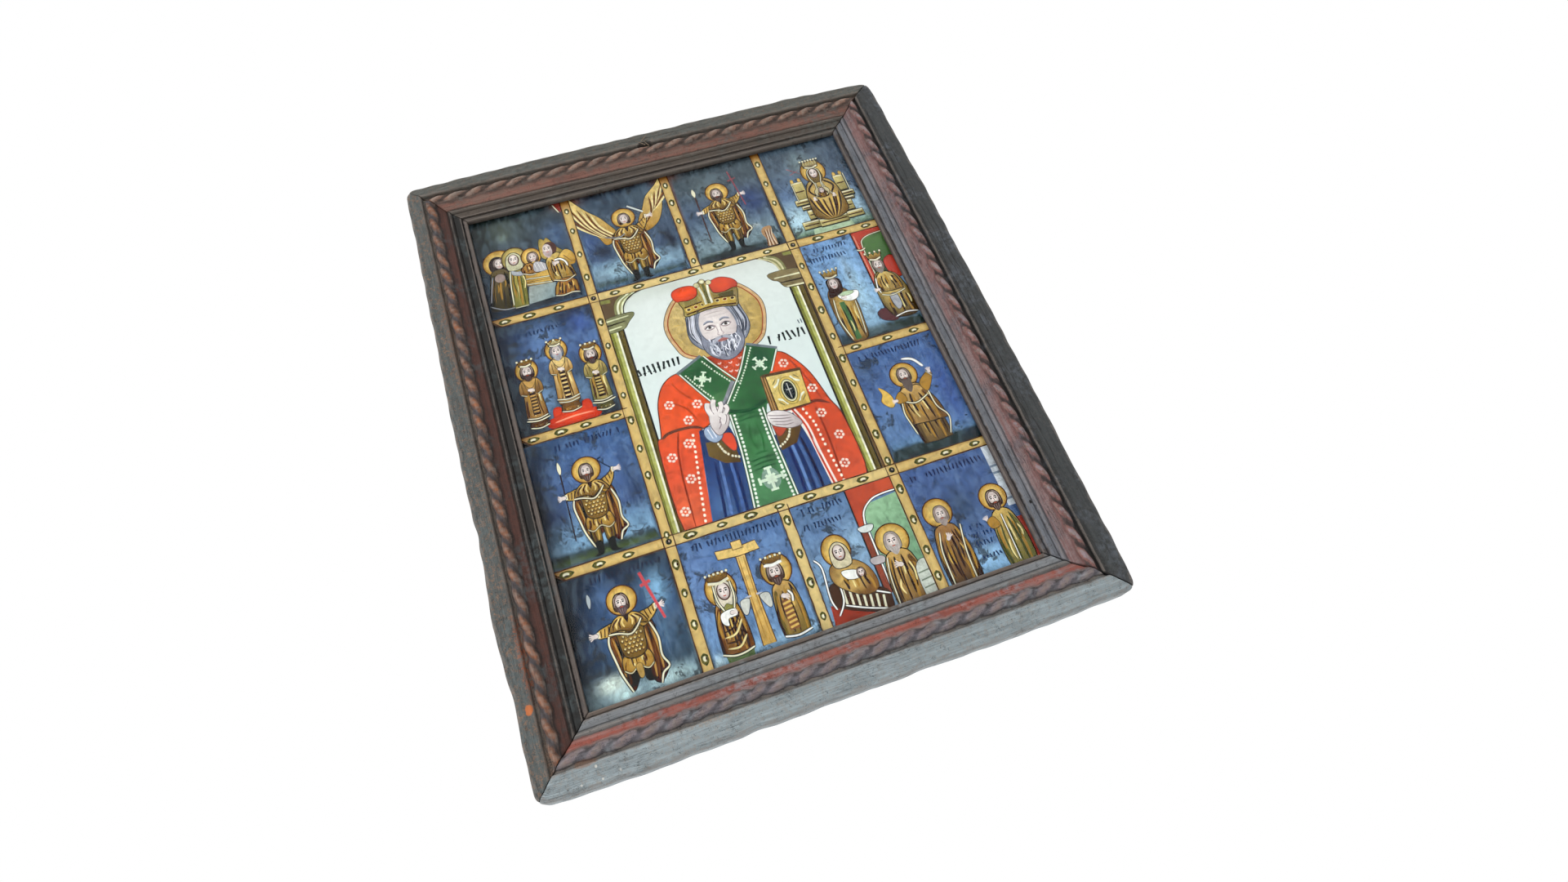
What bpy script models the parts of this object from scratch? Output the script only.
"""Framed reverse-painted glass icon: four mitred, rope-carved rails, a glass pane and a backing board.

Metres, +Z up. The picture faces -Y and the flat back lies in the plane y = 0. The origin is on the flat
back of the top rail, at the middle of its length and of its width, where the icon hangs against a wall.
"""

import math

import bmesh
import bpy
from mathutils import Matrix, Vector

# Driving sizes of the picture opening, seen from the front
SIGHT_WIDTH = 0.352
SIGHT_HEIGHT = 0.447

# Widths of the moulding's members, from the sight edge outwards, the same on every rail
LIP_WIDTH = 0.0035
FLAT_WIDTH = 0.0068
BEAD_WIDTH = 0.0046
COVE_WIDTH = 0.0070
ROPE_WIDTH = 0.0082
GROOVE_WIDTH = 0.0024

# Width of the plain band outside the rope, which is the maker's own on each rail
TOP_BAND = 0.0132
BOTTOM_BAND = 0.0155
LEFT_BAND = 0.0130
RIGHT_BAND = 0.0205

# Thickness of the lip over the glass, and the steps up and down from each member to the next
LIP_THICKNESS = 0.0053
FLAT_RISE = 0.0012
BEAD_RISE = 0.0016
COVE_STEP = 0.0012
COVE_RISE = 0.0036
ROPE_RISE = 0.0036
GROOVE_DROP = 0.0050
BAND_RISE = 0.0038
BAND_FALL = 0.0022
QUIRK_DEPTH = 0.0008
QUIRK_WIDTH = 0.0006

# Rounded edges
LIP_ROUND = 0.0012
BAND_INNER_ROUND = 0.0014
BAND_OUTER_ROUND = 0.0036

# Rope carving: strands run outwards as they go clockwise round the frame
ROPE_PITCH = 0.0186
ROPE_RUN = 0.0120
STRAND_DEPTH = 0.0021
STATIONS_PER_STRAND = 6
ROPE_POINTS = 5

# Rabbet behind the lip, with what it holds
RABBET_WIDTH = 0.0070
GLASS_THICKNESS = 0.0022
BOARD_THICKNESS = 0.0048
PAINT_ROOM = 0.0008
BOARD_RECESS = 0.0018
EDGE_PLAY = 0.0010
TOUCH_GAP = 0.0003
BOARD_CHAMFER = 0.0008

# Splintered chip on the top rail, where the rope meets the band
CHIP_FROM_CENTRE = -0.006
CHIP_LENGTH = 0.011
CHIP_WIDTH = 0.0060
CHIP_DEPTH = 0.0026
CHIP_TURN = math.radians(28)

# Widths and places worked out from the sizes above
MOULDING_WIDTH = LIP_WIDTH + FLAT_WIDTH + BEAD_WIDTH + COVE_WIDTH + ROPE_WIDTH + GROOVE_WIDTH
TOP_WIDTH = MOULDING_WIDTH + TOP_BAND
BOTTOM_WIDTH = MOULDING_WIDTH + BOTTOM_BAND
LEFT_WIDTH = MOULDING_WIDTH + LEFT_BAND
RIGHT_WIDTH = MOULDING_WIDTH + RIGHT_BAND
OUTER_WIDTH = LEFT_WIDTH + SIGHT_WIDTH + RIGHT_WIDTH
SIGHT_LEFT = -OUTER_WIDTH / 2 + LEFT_WIDTH
SIGHT_RIGHT = SIGHT_LEFT + SIGHT_WIDTH
SIGHT_TOP = -TOP_WIDTH / 2
SIGHT_BOTTOM = SIGHT_TOP - SIGHT_HEIGHT
GLASS_BACK = BOARD_RECESS + BOARD_THICKNESS + PAINT_ROOM
RABBET_HEIGHT = GLASS_BACK + GLASS_THICKNESS + TOUCH_GAP
LIP_HEIGHT = RABBET_HEIGHT + LIP_THICKNESS
FLAT_HEIGHT = LIP_HEIGHT + FLAT_RISE
BEAD_HEIGHT = FLAT_HEIGHT + BEAD_RISE
COVE_LOW_HEIGHT = FLAT_HEIGHT + COVE_STEP
COVE_HIGH_HEIGHT = COVE_LOW_HEIGHT + COVE_RISE
ROPE_HEIGHT = COVE_HIGH_HEIGHT + ROPE_RISE
GROOVE_HEIGHT = ROPE_HEIGHT - GROOVE_DROP
BAND_INNER_HEIGHT = GROOVE_HEIGHT + BAND_RISE
BAND_OUTER_HEIGHT = BAND_INNER_HEIGHT - BAND_FALL
ROPE_START = LIP_WIDTH + FLAT_WIDTH + BEAD_WIDTH + COVE_WIDTH
ROPE_END = ROPE_START + ROPE_WIDTH
FRONT = Vector((0, -1, 0))


def make_material(name, color, roughness, metallic=0.0):
    """One Principled material."""
    material = bpy.data.materials.new(name)
    material.use_nodes = True
    shader = material.node_tree.nodes["Principled BSDF"]
    shader.inputs["Base Color"].default_value = (*color, 1.0)
    shader.inputs["Roughness"].default_value = roughness
    shader.inputs["Metallic"].default_value = metallic
    return material


def arc_points(center, radius, start, end, count):
    """Points of an arc in the section, from one angle to another, both ends included."""
    points = []
    for i in range(count):
        angle = math.radians(start + (end - start) * i / (count - 1))
        points.append((center[0] + radius * math.cos(angle), center[1] + radius * math.sin(angle)))
    return points


def inner_section():
    """Section from the back of the rabbet over the lip, flat, bead and cove to the foot of the rope."""
    points = [(RABBET_WIDTH, 0.0), (RABBET_WIDTH, RABBET_HEIGHT), (0.0, RABBET_HEIGHT)]
    nose = (LIP_ROUND, LIP_HEIGHT - LIP_ROUND)
    points += arc_points(nose, LIP_ROUND, 180, 90, 3)
    lip_edge = LIP_WIDTH - QUIRK_WIDTH
    points += [(lip_edge, LIP_HEIGHT), (LIP_WIDTH, LIP_HEIGHT - QUIRK_DEPTH)]
    flat_end = LIP_WIDTH + FLAT_WIDTH
    points += [(LIP_WIDTH + QUIRK_WIDTH, FLAT_HEIGHT), (flat_end - QUIRK_WIDTH, FLAT_HEIGHT)]
    points += [(flat_end, FLAT_HEIGHT - QUIRK_DEPTH)]
    bead_end = flat_end + BEAD_WIDTH
    for i in range(1, 4):
        share = i / 4
        rise = BEAD_HEIGHT - FLAT_HEIGHT + QUIRK_DEPTH
        points.append((flat_end + BEAD_WIDTH * share, FLAT_HEIGHT - QUIRK_DEPTH + rise * math.sin(math.pi * share)))
    points.append((bead_end, COVE_LOW_HEIGHT - QUIRK_DEPTH))
    points.append((bead_end + QUIRK_WIDTH, COVE_LOW_HEIGHT))
    cove_run = COVE_WIDTH - QUIRK_WIDTH
    for i in range(1, 4):
        share = i / 3
        height = COVE_LOW_HEIGHT + (COVE_HIGH_HEIGHT - COVE_LOW_HEIGHT) * share ** 1.5
        points.append((bead_end + QUIRK_WIDTH + cove_run * share, height))
    return points


def outer_section(width):
    """Section from the groove outside the rope over the plain band and down to the flat back."""
    groove_end = ROPE_END + GROOVE_WIDTH
    points = [(ROPE_END, GROOVE_HEIGHT), (groove_end - GROOVE_WIDTH / 4, GROOVE_HEIGHT)]
    points.append((groove_end, BAND_INNER_HEIGHT - BAND_INNER_ROUND))
    points.append((groove_end + BAND_INNER_ROUND, BAND_INNER_HEIGHT))
    corner = (width - BAND_OUTER_ROUND, BAND_OUTER_HEIGHT - BAND_OUTER_ROUND)
    points += arc_points(corner, BAND_OUTER_ROUND, 90, 0, 4)
    points.append((width, 0.0))
    return points


def rope_height(along, across):
    """Height of the carved rope at a place along the rail and a share of its width, 0 inside, 1 outside."""
    foot = COVE_HIGH_HEIGHT + (GROOVE_HEIGHT - COVE_HIGH_HEIGHT) * across
    dome = math.sin(math.pi * across) ** 0.7
    phase = (along - ROPE_RUN * across) / ROPE_PITCH
    strand = abs(math.sin(math.pi * phase)) ** 0.8
    peak = ROPE_HEIGHT - STRAND_DEPTH * (1 - strand)
    return foot + (peak - foot) * dome


def bridge(bm, row, next_row):
    """Faces between two lengthwise rows of points, which have as many points as each other or two on one side."""
    if len(row) == len(next_row):
        for i in range(len(row) - 1):
            bm.faces.new((row[i], row[i + 1], next_row[i + 1], next_row[i]))
        return
    short, long = (row, next_row) if len(row) == 2 else (next_row, row)
    middle = len(long) // 2
    for i in range(len(long) - 1):
        bm.faces.new((short[0] if i < middle else short[1], long[i], long[i + 1]))
    bm.faces.new((short[0], short[1], long[middle]))


def build_rail(name, corner, along, out, sight_length, width, start_slope, end_slope, material):
    """One moulded rail as a closed loft, mitred from its sight corners to its outer corners.

    corner is the sight corner where the rail starts, and a slope is the next rail's width over its own."""
    half_gap = TOUCH_GAP / 2
    start_gap = half_gap * math.hypot(1, start_slope)
    end_gap = half_gap * math.hypot(1, end_slope)

    def mitre_start(u):
        return -start_slope * u + start_gap

    def mitre_end(u):
        return sight_length + end_slope * u - end_gap

    def place(s, u, h):
        return corner + along * s + out * u + FRONT * h

    bm = bmesh.new()

    def plain_row(u, h):
        return [bm.verts.new(place(mitre_start(u), u, h)), bm.verts.new(place(mitre_end(u), u, h))]

    def rope_row(index):
        across = index / (ROPE_POINTS - 1)
        u = ROPE_START + ROPE_WIDTH * across
        first = mitre_start(ROPE_START) + half_gap
        last = mitre_end(ROPE_START) - half_gap
        count = round((last - first) / ROPE_PITCH * STATIONS_PER_STRAND)
        places = [mitre_start(u)] + [first + (last - first) * i / count for i in range(count + 1)] + [mitre_end(u)]
        inside = 0 < index < ROPE_POINTS - 1
        edge = COVE_HIGH_HEIGHT if index == 0 else GROOVE_HEIGHT
        return [bm.verts.new(place(s, u, rope_height(s, across) if inside else edge)) for s in places]

    rows = [plain_row(u, h) for u, h in inner_section()[:-1]]
    rows += [rope_row(index) for index in range(ROPE_POINTS)]
    rows += [plain_row(u, h) for u, h in outer_section(width)[1:]]
    for row, next_row in zip(rows, rows[1:] + rows[:1]):
        bridge(bm, row, next_row)
    caps = [bm.faces.new([row[0] for row in rows]), bm.faces.new([row[-1] for row in reversed(rows)])]
    bmesh.ops.triangulate(bm, faces=caps)
    bmesh.ops.recalc_face_normals(bm, faces=bm.faces[:])
    mesh = bpy.data.meshes.new(name)
    bm.to_mesh(mesh)
    bm.free()
    rail = bpy.data.objects.new(name, mesh)
    mesh.materials.append(material)
    return rail


def build_slab(name, low, high, material):
    """A flat rectangular sheet between two corners."""
    bm = bmesh.new()
    bmesh.ops.create_cube(bm, size=1.0)
    size = high - low
    bmesh.ops.scale(bm, verts=bm.verts, vec=size)
    mesh = bpy.data.meshes.new(name)
    bm.to_mesh(mesh)
    bm.free()
    slab = bpy.data.objects.new(name, mesh)
    slab.location = (low + high) / 2
    mesh.materials.append(material)
    return slab


def rabbet_slab(name, back, thickness, material):
    """A sheet that fills the rabbet with play at its edges."""
    reach = RABBET_WIDTH - EDGE_PLAY
    low = Vector((SIGHT_LEFT - reach, -back - thickness, SIGHT_BOTTOM - reach))
    high = Vector((SIGHT_RIGHT + reach, -back, SIGHT_TOP + reach))
    return build_slab(name, low, high, material)


def build_chip_cutter():
    """A turned wedge that bites the chip out of the top rail's rope and band."""
    low = Vector((-CHIP_LENGTH / 2, -CHIP_DEPTH, -CHIP_WIDTH / 2))
    high = Vector((CHIP_LENGTH / 2, CHIP_DEPTH, CHIP_WIDTH / 2))
    cutter = build_slab("chip_cutter", low, high, make_material("cutter", (0.5, 0.5, 0.5), 0.5))
    place = Vector((CHIP_FROM_CENTRE, -ROPE_HEIGHT, SIGHT_TOP + ROPE_END + GROOVE_WIDTH / 2))
    cutter.matrix_world = Matrix.Translation(place) @ Matrix.Rotation(CHIP_TURN, 4, "Y")
    cutter.hide_render = True
    cutter.display_type = "WIRE"
    return cutter


def build_frame(painted_wood):
    """The four rails, clockwise as seen from the front."""
    right, up = Vector((1, 0, 0)), Vector((0, 0, 1))
    top_left = Vector((SIGHT_LEFT, 0, SIGHT_TOP))
    top_right = Vector((SIGHT_RIGHT, 0, SIGHT_TOP))
    bottom_right = Vector((SIGHT_RIGHT, 0, SIGHT_BOTTOM))
    bottom_left = Vector((SIGHT_LEFT, 0, SIGHT_BOTTOM))
    rails = (
        ("frame_top_rail", top_left, right, up, SIGHT_WIDTH, TOP_WIDTH, LEFT_WIDTH, RIGHT_WIDTH),
        ("frame_right_rail", top_right, -up, right, SIGHT_HEIGHT, RIGHT_WIDTH, TOP_WIDTH, BOTTOM_WIDTH),
        ("frame_bottom_rail", bottom_right, -right, -up, SIGHT_WIDTH, BOTTOM_WIDTH, RIGHT_WIDTH, LEFT_WIDTH),
        ("frame_left_rail", bottom_left, up, -right, SIGHT_HEIGHT, LEFT_WIDTH, BOTTOM_WIDTH, TOP_WIDTH),
    )
    built = []
    for name, corner, along, out, length, width, before, after in rails:
        rail = build_rail(name, corner, along, out, length, width, before / width, after / width, painted_wood)
        built.append(rail)
    return built


def main():
    for old in list(bpy.data.objects):
        bpy.data.objects.remove(old, do_unlink=True)
    icon = bpy.data.collections.new("glass_icon")
    cutters = bpy.data.collections.new("cutters")
    bpy.context.scene.collection.children.link(icon)
    bpy.context.scene.collection.children.link(cutters)

    painted_wood = make_material("painted_wood", (0.09, 0.075, 0.07), 0.6)
    clear_glass = make_material("clear_glass", (0.75, 0.82, 0.82), 0.05)
    bare_board = make_material("bare_board", (0.30, 0.20, 0.12), 0.8)

    rails = build_frame(painted_wood)
    for rail in rails:
        icon.objects.link(rail)
    icon.objects.link(rabbet_slab("glass_pane", GLASS_BACK, GLASS_THICKNESS, clear_glass))

    board = rabbet_slab("back_board", BOARD_RECESS, BOARD_THICKNESS, bare_board)
    icon.objects.link(board)
    chamfer = board.modifiers.new("chamfer", "BEVEL")
    chamfer.width = BOARD_CHAMFER
    chamfer.segments = 1

    cutter = build_chip_cutter()
    cutters.objects.link(cutter)
    chip = rails[0].modifiers.new("chip", "BOOLEAN")
    chip.operation = "DIFFERENCE"
    chip.object = cutter


main()
